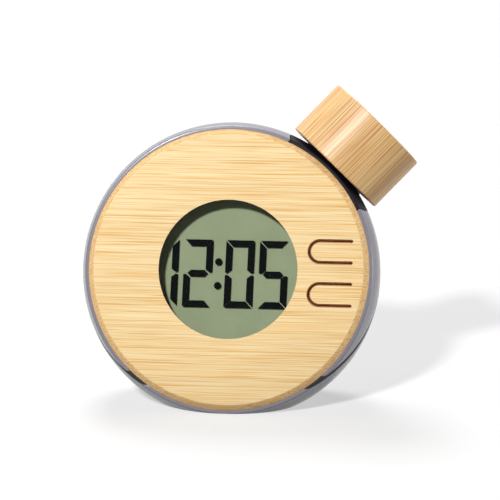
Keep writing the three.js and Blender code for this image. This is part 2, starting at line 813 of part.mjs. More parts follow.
// An insulated lead from an electrode's tab to the back of the circuit board.
function makeLead(tabX, side) {
  const start = coverFront + leadRadius + gap;
  const end = boardBack - leadRadius - gap;
  const y = electrodeCentreY + tabHeight / 2 + leadRadius + gap;
  const depths = [start, start + leadLift, (start + end) / 2, end];
  const path = new THREE.CatmullRomCurve3(leadRoute.map(([aside, up], i) => new THREE.Vector3(
    tabX + side * aside, y + up, depths[i],
  )));
  const section = new THREE.Shape();
  section.absarc(0, 0, leadRadius, 0, 2 * Math.PI, false);
  return toSolid(new THREE.ExtrudeGeometry(section, {
    extrudePath: path, steps: 12, curveSegments: 4, bevelEnabled: false,
  }));
}

// The pieces, from the face to the back
addPiece('bamboo_face', makeFace(), bamboo);
for (const [side, y] of Object.entries(buttonYs)) {
  addPiece(`${side}_button`, makeTongue(y), bamboo);
  addPiece(`${side}_key`, makeKey(y), siliconeGrey);
  addPiece(`${side}_switch_plunger`, makePlunger(y), blackPlastic);
  addPiece(`${side}_switch_body`, makeSwitch(y), steel);
}
addPiece('face_adhesive_ring', ring(faceRadius - adhesiveInset, faceRadius - adhesiveInset - adhesiveWidth,
  seatFront + gap, seatFront + gap + adhesiveThickness), tape);
addPiece('front_shell', makeFrontShell(), casePlastic);
addPiece('rear_shell', makeRearShell(), casePlastic);
addPiece('shell_seal', makeSeal(), blackRubber);
addPiece('display_gasket', ring(displayGasketRadius, windowRadius + gasketInset,
  displayGasketFront - displayGasketThickness, displayGasketFront, capSides), blackRubber);
addPiece('display_front_glass', glassPlate(frontGlassHeight, frontGlassFront), displayGlass);
addPiece('liquid_crystal_layer', makeCrystalLayer(), displayInk);
addPiece('display_rear_glass', glassPlate(rearGlassHeight, rearGlassFront), displayBacking);
for (const [name, side] of [['upper', 1], ['lower', -1]]) {
  addPiece(`${name}_display_connector`, boxSolid(
    [-connectorLength / 2, side * connectorY - connectorThickness / 2, boardFront + gap],
    [connectorLength / 2, side * connectorY + connectorThickness / 2, segmentsFront],
  ), siliconeGrey);
}
addPiece('display_holder', makeHolder(), blackPlastic);
holderScrewAngles.forEach((angle, i) => {
  addPiece(`holder_screw_${i + 1}`, screw(holderScrew, holderScrewRadius, angle, holderBack - gap), steel);
});
addPiece('circuit_board', makeBoard(), boardGreen);
boardScrewAngles.forEach((angle, i) => {
  addPiece(`board_screw_${i + 1}`, screw(boardScrew, boardScrewRadius, angle, boardBack - gap), steel);
});
addPiece('clock_chip', makeChipBlob(), blackPlastic);
addPiece('storage_capacitor', lyingCan(capacitor), blackSleeve);
addPiece('quartz_crystal', lyingCan(crystal), steel);
addPiece('cell_cover', makeCover(), cellPlastic);
addPiece('cell_seal', makeCellSeal(), blackRubber);
addPiece('water_cell', makeCell(), cellPlastic);
for (const [name, x] of Object.entries(electrodeXs)) {
  addPiece(`${name}_electrode`, makeElectrode(x), name.endsWith('copper') ? copper : zinc);
}
addPiece('cell_link_strip', makeLink(), copper);
addPiece('positive_lead', makeLead(electrodeXs.left_copper, 1), redSleeve);
addPiece('negative_lead', makeLead(electrodeXs.right_zinc, -1), blackSleeve);
addPiece('filler_neck', makeNeck(), blackPlastic);
addPiece('cap_washer', onNeck(rod(washerRadius, washerBottom, washerTop, 0, 0, capSides)), blackRubber);
addPiece('cap_insert', makeInsert(), blackPlastic);
addPiece('bamboo_cap', makeCap(), capBamboo);

// Lean the case back and put the middle of its flat at the origin
leaningCase.rotation.x = Math.PI / 2 - leanAngle;
const flatPoint = new THREE.Vector3(0, -rimRadius + flatMiddleDepth * Math.tan(leanAngle), -flatMiddleDepth)
  .applyEuler(leaningCase.rotation);
leaningCase.position.copy(flatPoint).negate();

export default clock;
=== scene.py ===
"""Round desk clock that runs on water: bamboo face and cap, grey moulded case, recessed display.

Each piece is modelled in millimetres in the case frame (X right, Y up along the face, Z out of
the face, origin in the middle of the case's front rim) or in the neck frame (Z out along the
filler neck), and then moved to its place in the row frame in metres.
"""

import logging
import math
from dataclasses import dataclass
from enum import Enum
from typing import Any, Callable, Mapping, Optional, Sequence

import bmesh
import bpy
from mathutils import Matrix, Vector


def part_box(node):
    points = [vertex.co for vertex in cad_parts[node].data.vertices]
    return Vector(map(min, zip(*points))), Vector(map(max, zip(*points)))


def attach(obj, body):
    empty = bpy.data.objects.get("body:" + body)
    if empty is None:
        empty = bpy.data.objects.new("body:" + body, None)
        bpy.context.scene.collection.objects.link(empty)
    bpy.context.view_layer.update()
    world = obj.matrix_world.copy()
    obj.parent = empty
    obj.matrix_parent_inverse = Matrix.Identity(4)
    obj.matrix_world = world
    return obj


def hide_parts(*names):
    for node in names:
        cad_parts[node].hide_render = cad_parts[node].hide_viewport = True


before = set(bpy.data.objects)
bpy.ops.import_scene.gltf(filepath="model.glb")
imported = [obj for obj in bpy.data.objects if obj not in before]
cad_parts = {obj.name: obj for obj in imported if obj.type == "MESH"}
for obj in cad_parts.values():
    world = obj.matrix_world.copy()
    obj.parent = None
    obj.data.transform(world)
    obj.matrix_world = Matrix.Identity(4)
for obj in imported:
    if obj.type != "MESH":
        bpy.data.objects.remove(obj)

LOG = logging.getLogger("clock")
MM = 0.001
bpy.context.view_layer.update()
Point = tuple[float, float]
# Points nearer than this many millimetres are one, and a point this near to a plane is on it.
WELD = 1e-4
FLUSH = 1e-5
# How many millimetres a tool reaches past the solid that it cuts or joins
OVERRUN = 1.0
# Most of a noise's values lie in this range, which a Map Range node spreads over its own.
NOISE_SPREAD = {"From Min": 0.3, "From Max": 0.7}


class Join(Enum):
    """How two solids are combined."""

    ADD = "UNION"
    CUT = "DIFFERENCE"
    KEEP = "INTERSECT"


def half_width(node: str) -> float:
    """Half the width of a CAD node from left to right, in millimetres."""
    low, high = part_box(node)
    return (high.x - low.x) / 2 / MM


@dataclass(frozen=True)
class Placing:
    """How the case stands, and where the neck leaves it."""

    lean: float = math.radians(17)
    rim_radius: float = 39.9
    flat_middle_depth: float = 15.0
    neck_angle: float = math.radians(46.9)
    neck_depth: float = 13.0

    def case(self) -> Matrix:
        """The case frame in the row frame, from millimetres to metres.

        Returns:
            A matrix that leans the case back and sets the middle of its flat at the origin.
        """
        turn = Matrix.Rotation(math.pi / 2 - self.lean, 4, "X")
        flat = Vector((
            0,
            self.flat_middle_depth * math.tan(self.lean) - self.rim_radius,
            -self.flat_middle_depth,
        ))
        return Matrix.Translation(-(turn @ flat) * MM) @ turn @ Matrix.Scale(MM, 4)

    def neck(self) -> Matrix:
        """The neck frame in the row frame, from millimetres to metres."""
        return self.case() @ self.neck_in_case()

    def neck_in_case(self) -> Matrix:
        """The neck frame in the case frame: Z out along the neck, Y out of the face.

        Returns:
            A matrix in millimetres, with its origin on the case's axis at the neck's depth.
        """
        sine, cosine = math.sin(self.neck_angle), math.cos(self.neck_angle)
        return Matrix((
            (-sine, 0, cosine, 0),
            (cosine, 0, sine, 0),
            (0, 1, 0, -self.neck_depth),
            (0, 0, 0, 1),
        ))


PLACING = Placing()
UP_IN_CASE = Vector((0, math.cos(PLACING.lean), math.sin(PLACING.lean)))


# Finishes


def linear(colour: str) -> tuple[float, float, float, float]:
    """Turns an sRGB hex colour to the linear one that shaders take.

    Args:
        colour: The colour, such as "#e9c386".

    Returns:
        Linear red, green and blue, and an alpha of 1.
    """
    values = [int(colour[i:i + 2], 16) / 255 for i in (1, 3, 5)]
    red, green, blue = (
        value / 12.92 if value <= 0.04045 else ((value + 0.055) / 1.055) ** 2.4 for value in values
    )
    return red, green, blue, 1.0


def add_node(
    tree: bpy.types.NodeTree,
    kind: str,
    inputs: Optional[Mapping[Any, Any]] = None,
    stops: Sequence[tuple[float, str]] = (),
    **settings: Any,
) -> bpy.types.Node:
    """Adds one shader node with its settings and links.

    Args:
        tree: The material's node tree.
        kind: The node's type, without "ShaderNode".
        inputs: Values, hex colours or output sockets, by input name or number.
        stops: Colours of a colour ramp, by position.
        settings: The node's own attributes.

    Returns:
        The new node.
    """
    node = tree.nodes.new("ShaderNode" + kind)
    for name, value in settings.items():
        setattr(node, name, value)
    for key, value in (inputs or {}).items():
        if isinstance(value, bpy.types.NodeSocket):
            tree.links.new(value, node.inputs[key])
        else:
            node.inputs[key].default_value = linear(value) if isinstance(value, str) else value
    if stops:
        elements = node.color_ramp.elements
        while len(elements) < len(stops):
            elements.new(0.5)
        for element, (position, colour) in zip(elements, stops):
            element.position = position
            element.color = linear(colour)
    return node


# The materials made so far, by name
MADE: dict[str, bpy.types.Material] = {}


@dataclass(frozen=True)
class Finish:
    """A finish on one of the clock's pieces."""

    name: str

    def material(self) -> bpy.types.Material:
        """Makes the material, or finds it if it was made before.

        Returns:
            The material.
        """
        if self.name in MADE:
            return MADE[self.name]
        made = MADE[self.name] = bpy.data.materials.new(self.name)
        made.use_nodes = True
        tree = made.node_tree
        shader = tree.nodes["Principled BSDF"]
        self.dress(tree, shader)
        return made

    def dress(self, tree: bpy.types.NodeTree, shader: bpy.types.Node) -> None:
        """Adds this finish's nodes to a new material's tree."""
        raise NotImplementedError


@dataclass(frozen=True)
class Bamboo(Finish):
    """Laminated bamboo, sanded smooth.

    Pale gold with straight fibres. Bundles show as thin darker lines a few tenths of a millimetre
    wide and a centimetre or two long, and as specks where the wood is cut across. The real bundles
    are down to 0.1 mm wide, and are drawn two or three times as coarse so that they show.
    """

    pale: str = "#fce5b4"
    mid: str = "#f8d9a1"
    deep: str = "#f4ce8f"
    streak: str = "#e2aa5a"
    streak_share: float = 0.85
    roughness: float = 0.58
    ior: float = 1.25
    grain: Matrix = Matrix.Identity(4)
    tone_stops: tuple[float, float, float] = (0.34, 0.48, 0.62)
    line_range: Point = (0.58, 0.7)
    dash_range: Point = (0.56, 0.78)
    dash_share: float = 0.6
    bundle_mm: float = 0.36
    bundle_length_mm: float = 70.0
    line_mm: float = 0.3
    line_length_mm: float = 30.0
    dash_mm: float = 0.22
    dash_length_mm: float = 14.0
    drift_mm: float = 0.5
    drift_length_mm: float = 50.0
    strip_mm: float = 4.1667
    strip_length_mm: float = 100.0
    strip_depth_mm: float = 12.5
    strip_shade: float = 0.03
    gloss_shade: float = 0.1
    relief_mm: float = 0.06

    def dress(self, tree: bpy.types.NodeTree, shader: bpy.types.Node) -> None:
        """Draws the fibres along X of the grain frame, in millimetres.

        Args:
            tree: The material's node tree.
            shader: Its Principled node.
        """
        place = add_node(tree, "TexCoord")
        grain = add_node(tree, "Mapping", {
            "Vector": place.outputs["Object"],
            "Location": self.grain.to_translation(),
            "Rotation": self.grain.to_euler("XYZ"),
            "Scale": (MM, MM, MM),
        }, vector_type="TEXTURE")
        # The stalks are never quite straight: a slow drift bends the lines a little.
        drift = add_node(tree, "TexNoise", {
            "Vector": grain.outputs[0], "Scale": 1 / self.drift_length_mm, "Detail": 0.0,
        })
        bent = add_node(tree, "VectorMath", {
            0: drift.outputs["Color"], 1: (0.0, self.drift_mm, self.drift_mm), 2: grain.outputs[0],
        }, operation="MULTIPLY_ADD")
        bundles, lines, dashes = (
            add_node(tree, "TexNoise", {
                "Vector": add_node(tree, "Mapping", {
                    "Vector": bent.outputs[0], "Location": (shift, shift, shift),
                    "Scale": (1 / length, 1 / width, 1 / width),
                }).outputs[0],
                "Scale": 1.0, "Detail": detail, "Roughness": 0.55,
            })
            for width, length, detail, shift in (
                (self.bundle_mm, self.bundle_length_mm, 2.0, 0.0),
                (self.line_mm, self.line_length_mm, 0.5, 7.3),
                (self.dash_mm, self.dash_length_mm, 0.0, 3.1),
            )
        )
        tone = add_node(
            tree, "ValToRGB", {"Fac": bundles.outputs["Fac"]},
            stops=tuple(zip(self.tone_stops, (self.deep, self.mid, self.pale))),
        )
        line_mask, dash_mask = (
            add_node(tree, "MapRange", {
                "Value": noise.outputs["Fac"], "From Min": low, "From Max": high,
                "To Max": self.streak_share * share,
            })
            for noise, (low, high), share in (
                (lines, self.line_range, 1.0), (dashes, self.dash_range, self.dash_share),
            )
        )
        masks = add_node(tree, "Math", {
            0: line_mask.outputs[0], 1: dash_mask.outputs[0],
        }, operation="MAXIMUM")
        lined = add_node(tree, "Mix", {
            0: masks.outputs[0], 6: tone.outputs[0], 7: self.streak,
        }, data_type="RGBA")
        # Strips a few millimetres wide are glued side by side, each a shade apart.
        strips = add_node(tree, "TexNoise", {
            "Vector": add_node(tree, "Mapping", {
                "Vector": bent.outputs[0],
                "Scale": (1 / self.strip_length_mm, 1 / self.strip_mm, 1 / self.strip_depth_mm),
            }).outputs[0],
            "Scale": 1.0, "Detail": 1.0,
        })
        shade = add_node(tree, "MapRange", {
            "Value": strips.outputs["Fac"], **NOISE_SPREAD,
            "To Min": 1 - self.strip_shade, "To Max": 1 + self.strip_shade,
        })
        toned = add_node(tree, "VectorMath", {
            0: lined.outputs[2], 3: shade.outputs[0],
        }, operation="SCALE")
        gloss = add_node(tree, "MapRange", {
            "Value": bundles.outputs["Fac"], "To Min": self.roughness + self.gloss_shade,
            "To Max": self.roughness - self.gloss_shade,
        })
        relief = add_node(tree, "Bump", {
            "Height": bundles.outputs["Fac"], "Strength": 0.25, "Distance": self.relief_mm * MM,
        })
        tree.links.new(toned.outputs[0], shader.inputs["Base Color"])
        tree.links.new(gloss.outputs[0], shader.inputs["Roughness"])
        tree.links.new(relief.outputs[0], shader.inputs["Normal"])
        shader.inputs["IOR"].default_value = self.ior


@dataclass(frozen=True)
class Speckled(Finish):
    """A plain solid colour with the small unevenness of how it was made.

    Used for moulded plastic, rubber, burnt wood and metal: cloudy changes of shade, a fine relief
    of a known grain size, and a roughness that wanders with it. The real grain of plastic and
    rubber is 0.05 to 0.1 mm, and is drawn at about 0.25 mm so that it shows.
    """

    base: str = "#808080"
    other: str = "#707070"
    roughness: float = 0.4
    wander: float = 0.06
    grain_mm: float = 0.25
    grain_share: float = 0.4
    cloud_mm: float = 12.0
    relief_mm: float = 0.01
    metallic: float = 0.0
    ior: float = 1.5
    stretch: Point = (1.0, 1.0)
    alpha: float = 1.0
    subsurface: float = 0.0
    coat: float = 0.0

    def dress(self, tree: bpy.types.NodeTree, shader: bpy.types.Node) -> None:
        """Mixes two near colours by clouds and grain, and adds a fine relief.

        Args:
            tree: The material's node tree.
            shader: Its Principled node.
        """
        place = add_node(tree, "TexCoord")
        size = add_node(tree, "Mapping", {
            "Vector": place.outputs["Object"],
            "Scale": (1 / MM, self.stretch[0] / MM, self.stretch[1] / MM),
        })
        clouds = add_node(tree, "TexNoise", {
            "Vector": size.outputs[0], "Scale": 1 / self.cloud_mm, "Detail": 3.0,
        })
        grains = add_node(tree, "TexNoise", {
            "Vector": size.outputs[0], "Scale": 1 / self.grain_mm, "Detail": 2.0,
        })
        # Two noises mixed keep nearer to the middle than one, so a narrower range is spread.
        blend = add_node(tree, "Mix", {
            0: self.grain_share, 2: clouds.outputs["Fac"], 3: grains.outputs["Fac"],
        })
        share = add_node(tree, "MapRange", {
            "Value": blend.outputs[0], "From Min": 0.35, "From Max": 0.65,
        })
        colour = add_node(tree, "Mix", {
            0: share.outputs[0], 6: self.base, 7: self.other,
        }, data_type="RGBA")
        gloss = add_node(tree, "MapRange", {
            "Value": grains.outputs["Fac"], **NOISE_SPREAD,
            "To Min": self.roughness - self.wander, "To Max": self.roughness + self.wander,
        })
        relief = add_node(tree, "Bump", {
            "Height": grains.outputs["Fac"], "Strength": 0.5, "Distance": self.relief_mm * MM,
        })
        tree.links.new(colour.outputs[2], shader.inputs["Base Color"])
        tree.links.new(gloss.outputs[0], shader.inputs["Roughness"])
        tree.links.new(relief.outputs[0], shader.inputs["Normal"])
        shader.inputs["Metallic"].default_value = self.metallic
        shader.inputs["IOR"].default_value = self.ior
        shader.inputs["Alpha"].default_value = self.alpha
        shader.inputs["Coat Weight"].default_value = self.coat
        shader.inputs["Coat Roughness"].default_value = self.roughness / 2
        if self.subsurface:
            shader.inputs["Subsurface Weight"].default_value = self.subsurface
            shader.inputs["Subsurface Radius"].default_value = (1.0, 1.0, 1.0)
            shader.inputs["Subsurface Scale"].default_value = MM


# The fibres run from left to right across the face, and along the cap.
FACE_GRAIN = PLACING.case().normalized()
CAP_GRAIN = (PLACING.neck() @ Matrix.Rotation(math.pi / 2, 4, "Y")).normalized()

# Sanded bamboo of the face: pale gold, matt, with fine lines along the fibres
FACE_BAMBOO = Bamboo("face_bamboo", grain=FACE_GRAIN)
# Bamboo of the bevel, turned across the fibres: sandier and duller than the face
BEVEL_BAMBOO = Bamboo(
    "bevel_bamboo", pale="#f1d09c", mid="#e9c189", deep="#dfb074", streak="#cc9859",
    roughness=0.65, grain=FACE_GRAIN,
)
# Turned bamboo of the cap, a shade warmer, with stronger lines along its length
CAP_BAMBOO = Bamboo(
    "cap_bamboo", pale="#e9c995", mid="#dfb278", deep="#d29e5d", streak="#b47b40",
    streak_share=0.9, roughness=0.42, ior=1.5, grain=CAP_GRAIN,
)
# Laser-cut bamboo: the beam leaves the wall brown and matt
BURNT_BAMBOO = Speckled(
    "laser_cut_bamboo", base="#d29d70", other="#b38053", roughness=0.75, grain_mm=0.3, cloud_mm=3.0,
)
# Laser char on the window's wall, darkened almost to black as painted shade for the shadowed recess
# round the display
CHARRED_AND_SHADED_BAMBOO = Speckled(
    "charred_and_shaded_bamboo", base="#26160b", other="#170d06", roughness=0.8, grain_mm=0.3, cloud_mm=3.0,
)
# Moulded ABS with a fine spark-eroded texture: satin, cool grey
CASE_ABS = Speckled(
    "grey_abs", base="#7d7a86", other="#777480", roughness=0.3, grain_mm=0.22, cloud_mm=20.0,
    relief_mm=0.004, coat=0.3,
)
# Moulded black ABS, satin, faintly violet where light grazes it
BLACK_ABS = Speckled(
    "black_abs", base="#141018", other="#0f0c13", roughness=0.5, grain_mm=0.25, relief_mm=0.005,
    ior=1.25,
)
# Moulded nitrile rubber: deep black, matt, faintly rough
BLACK_RUBBER = Speckled(
    "black_rubber", base="#161616", other="#101010", roughness=0.8, relief_mm=0.02,
)
# Moulded silicone of the keys and connectors: even grey with a soft sheen
SILICONE = Speckled("grey_silicone", base="#7c7c7c", other="#727272", roughness=0.65)
# Polarising film under thin glass: almost clear, softly anti-glare
POLARISER = Speckled(
    "polariser_glass", base="#2c332a", other="#262c24", roughness=0.22, wander=0.02, alpha=0.05,
    relief_mm=0.001, ior=1.12,
)
# Coated foil behind the rear glass: pearly grey-green, evenly bright from each side
REFLECTOR = Speckled(
    "display_reflector", base="#a9b592", other="#9fab88", roughness=0.5, grain_mm=0.3, cloud_mm=8.0,
    relief_mm=0.002, ior=1.1,
)
# Liquid crystal under voltage: near black with a blue tinge, without gloss of its own
DISPLAY_INK = Speckled(
    "display_ink", base="#05070a", other="#07090d", roughness=0.6, relief_mm=0.001, ior=1.1,
)
# Epoxy lacquer of the circuit board, screen-printed: dark green, half gloss
SOLDER_MASK = Speckled("solder_mask", base="#2c5d3a", other="#244f31", roughness=0.4)
# Natural polypropylene of the cell, moulded: milky and a little translucent
MILKY_PLASTIC = Speckled(
    "milky_plastic", base="#e2e5e6", other="#d6dadc", roughness=0.35, subsurface=0.3,
)
# Rolled sheet metals: the streaks run along the rolling direction
COPPER = Speckled(
    "sheet_copper", base="#c07a4e", other="#a9653d", roughness=0.35, metallic=1.0,
    stretch=(0.1, 1.0),
)
ZINC = Speckled(
    "sheet_zinc", base="#b0b2b4", other="#9b9da0", roughness=0.45, metallic=1.0,
    stretch=(0.1, 1.0),
)
# Zinc-plated steel of screws and cans: bright grey with a soft mirror
STEEL = Speckled("plated_steel", base="#c0c1c3", other="#aeb0b2", roughness=0.3, metallic=1.0)
# Acrylic foam tape, die-cut: creamy, matt, with open pores at its edge
FOAM_TAPE = Speckled("foam_tape", base="#dcd8ca", other="#cfcaba", roughness=0.85, relief_mm=0.03)
# Extruded PVC of the leads and sleeves: smooth, in plain red or black
RED_PVC = Speckled("red_pvc", base="#a02a24", other="#94241f", roughness=0.45)
BLACK_PVC = Speckled("black_pvc", base="#1c1c1c", other="#151515", roughness=0.45)


# Solids


def new_mesh(work: bmesh.types.BMesh) -> bpy.types.Mesh:
    """Turns a finished bmesh to a mesh and frees it.

    Args:
        work: The bmesh, which is used up.

    Returns:
        The mesh, with its faces outwards.
    """
    bmesh.ops.recalc_face_normals(work, faces=work.faces)
    mesh = bpy.data.meshes.new("work")
    work.to_mesh(mesh)
    work.free()
    return mesh


def turned(profile: Sequence[Point], steps: int) -> bpy.types.Mesh:
    """Turns a profile once round Z.

    Args:
        profile: Radius and height of each point, in millimetres.
        steps: How many steps make the turn.

    Returns:
        The closed mesh.
    """
    work = bmesh.new()
    points = [work.verts.new((radius, 0, height)) for radius, height in profile]
    edges = [work.edges.new(pair) for pair in zip(points, points[1:])]
    if profile[0][0] > 0 and profile[0] != profile[-1]:
        edges.append(work.edges.new((points[-1], points[0])))
    bmesh.ops.spin(
        work, geom=points + edges, cent=(0, 0, 0), axis=(0, 0, 1), dvec=(0, 0, 0),
        angle=2 * math.pi, steps=steps, use_merge=True, use_duplicate=False,
    )
    bmesh.ops.remove_doubles(work, verts=work.verts, dist=WELD)
    return new_mesh(work)


def rod(
    radius: float, low: float, high: float, steps: int = 96, place: Matrix = Matrix(),
) -> bpy.types.Mesh:
    """A cylinder along Z between two heights, then moved by a matrix.

    Args:
        radius: Its radius.
        low: The height of its bottom.
        high: The height of its top.
        steps: How many sides it has.
        place: The matrix.

    Returns:
        The closed mesh.
    """
    work = bmesh.new()
    bmesh.ops.create_cone(
        work, cap_ends=True, segments=steps, radius1=radius, radius2=radius, depth=high - low,
        matrix=place @ Matrix.Translation((0, 0, (high + low) / 2)),
    )
    return new_mesh(work)


def pushed(
    outline: Callable[[float, float], Point], steps: int, low: float, high: float,
) -> bpy.types.Mesh:
    """Pushes a round outline, bent by a rule, from one height to another.

    Args:
        outline: Gives a point's place from its place on a circle of radius one.
        steps: How many points the outline has.
        low: The lower height.
        high: The upper height.

    Returns:
        The closed mesh.
    """
    work = bmesh.new()
    circle = bmesh.ops.create_circle(work, cap_ends=True, radius=1, segments=steps)
    for vert in circle["verts"]:
        x, y = outline(vert.co.x, vert.co.y)
        vert.co = Vector((x, y, low))
    grown = bmesh.ops.extrude_face_region(work, geom=list(work.faces))
    upper = [item for item in grown["geom"] if isinstance(item, bmesh.types.BMVert)]
    bmesh.ops.translate(work, verts=upper, vec=(0, 0, high - low))
    return new_mesh(work)


def sliced(mesh: bpy.types.Mesh, point: Vector, outward: Vector) -> bpy.types.Mesh:
    """Cuts away what lies beyond a plane and closes the cut.

    Args:
        mesh: The solid, which is used up.
        point: A point on the plane.
        outward: The plane's normal, towards what is cut away.

    Returns:
        The closed rest.
    """
    work = bmesh.new()
    work.from_mesh(mesh)
    bpy.data.meshes.remove(mesh)
    bmesh.ops.bisect_plane(
        work, geom=work.verts[:] + work.edges[:] + work.faces[:], dist=FLUSH, plane_co=point,
        plane_no=outward, clear_outer=True,
    )
    rim = [edge for edge in work.edges if edge.is_boundary]
    bmesh.ops.holes_fill(work, edges=rim, sides=0)
    return new_mesh(work)


def combined(first: bpy.types.Mesh, second: bpy.types.Mesh, how: Join) -> bpy.types.Mesh:
    """Combines two closed solids, which are used up.

    Args:
        first: The solid that is worked on.
        second: The solid that is added, cut off or kept within.
        how: Which of these.

    Returns:
        The resulting mesh.
    """
    scene = bpy.context.scene
    base = bpy.data.objects.new("work_base", first)
    tool = bpy.data.objects.new("work_tool", second)
    for item in (base, tool):
        scene.collection.objects.link(item)
    change = base.modifiers.new("join", "BOOLEAN")
    change.operation = how.value
    change.solver = "EXACT"
    change.object = tool
    shaped = base.evaluated_get(bpy.context.evaluated_depsgraph_get())
    result = bpy.data.meshes.new_from_object(shaped)
    for item in (base, tool):
        bpy.data.objects.remove(item)
    for mesh in (first, second):
        bpy.data.meshes.remove(mesh)
    return result


def moved(mesh: bpy.types.Mesh, matrix: Matrix) -> bpy.types.Mesh:
    """The same mesh after a matrix has moved it."""
    mesh.transform(matrix)
    return mesh


def place_piece(
    name: str,
    mesh: bpy.types.Mesh,
    matrix: Matrix,
    body: str,
    finishes: Sequence[Finish],
    choose: Callable[[Vector, Vector], int] = lambda centre, normal: 0,
    stands_for: Sequence[str] = (),
    sharp: float = 32.0,
) -> bpy.types.Object:
    """Turns a work mesh to a finished piece of the clock.

    Args:
        name: The piece's name.
        mesh: Its mesh in work millimetres.
        matrix: Where it goes in the row frame.
        body: The CAD body that it rides on.
        finishes: Its finishes, one for each material slot.
        choose: Picks the slot from a face's middle and normal in the work frame.
        stands_for: The CAD nodes that it replaces.
        sharp: Edges that turn more than this many degrees stay sharp.

    Returns:
        The new object.
    """
    mesh.name = name
    mesh.materials.clear()
    for finish in finishes:
        mesh.materials.append(finish.material())
    for polygon in mesh.polygons:
        polygon.material_index = choose(polygon.center, polygon.normal)
        polygon.use_smooth = True
    mesh.set_sharp_from_angle(angle=math.radians(sharp))
    mesh.transform(matrix)
    piece = bpy.data.objects.new(name, mesh)
    bpy.context.scene.collection.objects.link(piece)
    bpy.context.view_layer.update()
    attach(piece, body)
    if stands_for:
        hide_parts(*stands_for)
    LOG.info("%s: %d faces on %s", name, len(mesh.polygons), body)
    return piece


def dress_node(node: str, finish: Finish) -> None:
    """Gives a carried-over CAD node its material.

    Args:
        node: The node's name.
        finish: The finish that it gets.
    """
    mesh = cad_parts[node].data
    mesh.materials.clear()
    mesh.materials.append(finish.material())
    LOG.info("%s: carried over with %s", node, finish.name)


# The clock's sub-assemblies


